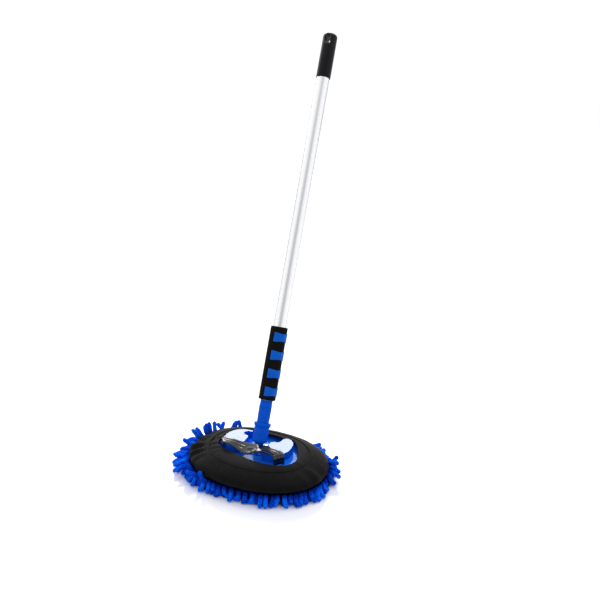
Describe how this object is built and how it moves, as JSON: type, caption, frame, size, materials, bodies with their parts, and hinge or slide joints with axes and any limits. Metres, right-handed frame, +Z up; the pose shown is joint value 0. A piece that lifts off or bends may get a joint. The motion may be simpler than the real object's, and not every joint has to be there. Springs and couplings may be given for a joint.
{
  "type": "car wash mop",
  "caption": "Long-handled car wash mop: telescopic pole on a two-way pivot, oval head with a mesh cover, chenille pile and a hinged clamp bar.",
  "frame": {"origin": "middle of the head's footprint, on the ground", "axes": "+X along the head, +Y the way the pole leans, +Z up"},
  "size_m": [0.278, 0.4369, 0.6998],
  "materials": {
    "chenille": "microfibre chenille noodles",
    "backing": "woven backing cloth",
    "foam": "open-cell foam",
    "mesh": "three-layer air mesh",
    "stretch_cloth": "smooth stretch cloth",
    "elastic": "covered elastic",
    "blue_plastic": "glossy moulded",
    "steel": "plated",
    "tube_aluminium": "satin anodised",
    "black_plastic": "fine texture",
    "white_plastic": "satin",
    "grip_foam": "closed-cell foam",
    "grip_pad": "soft touch",
    "bar_plastic": "high gloss"
  },
  "bodies": {
    "head": {"chenille_pile": "chenille", "backing_cloth": "backing", "foam_pad": "foam", "mesh_cover": "mesh", "cover_ring": "stretch_cloth", "hem_elastic": "elastic", "base_plate": "blue_plastic", "left_lobe": "blue_plastic", "right_lobe": "blue_plastic", "plate_screws": "steel", "pivot_bracket": "blue_plastic", "bracket_screws": "steel", "tilt_pin": "steel", "pin_clip": "steel", "bar_hinge": "blue_plastic", "bar_pin": "steel", "bar_catch": "blue_plastic"},
    "knuckle": {"knuckle": "blue_plastic"},
    "socket": {"swing_pin": "steel", "socket_collar": "blue_plastic", "pole_adapter": "blue_plastic", "inner_tube": "tube_aluminium", "lock_plug": "black_plastic"},
    "lock_sleeve": {"expander_sleeve": "white_plastic"},
    "pole": {"outer_tube": "tube_aluminium", "tube_bush": "white_plastic", "foam_grip": "grip_foam", "grip_pad_1": "grip_pad", "grip_pad_2": "grip_pad", "grip_pad_3": "grip_pad", "grip_pad_4": "grip_pad", "end_cap": "black_plastic"},
    "bar": {"clamp_bar": "bar_plastic"}
  },
  "joints": [
    {"name": "head_tilt", "type": "hinge", "parent": "head", "child": "knuckle", "pos_m": [0, 0.009, 0.041], "axis": [1, 0, 0], "range_deg": [-20, 20]},
    {"name": "head_swing", "type": "hinge", "parent": "knuckle", "child": "socket", "pos_m": [0, 0.01229, 0.04774], "axis": [0, 0.8988, -0.4384], "range_deg": [-25, 25]},
    {"name": "twist_lock", "type": "hinge", "parent": "socket", "child": "lock_sleeve", "pos_m": [0, 0.29833, 0.6342], "axis": [0, 0.4384, 0.8988], "range_deg": [0, 180]},
    {"name": "pole_extension", "type": "slide", "parent": "lock_sleeve", "child": "pole", "axis": [0, 0.4384, 0.8988], "range_m": [0, 0.45]},
    {"name": "bar_lift", "type": "hinge", "parent": "head", "child": "bar", "pos_m": [-0.058, -0.0075, 0.0505], "axis": [0, -1, 0], "range_deg": [0, 60]}
  ]
}
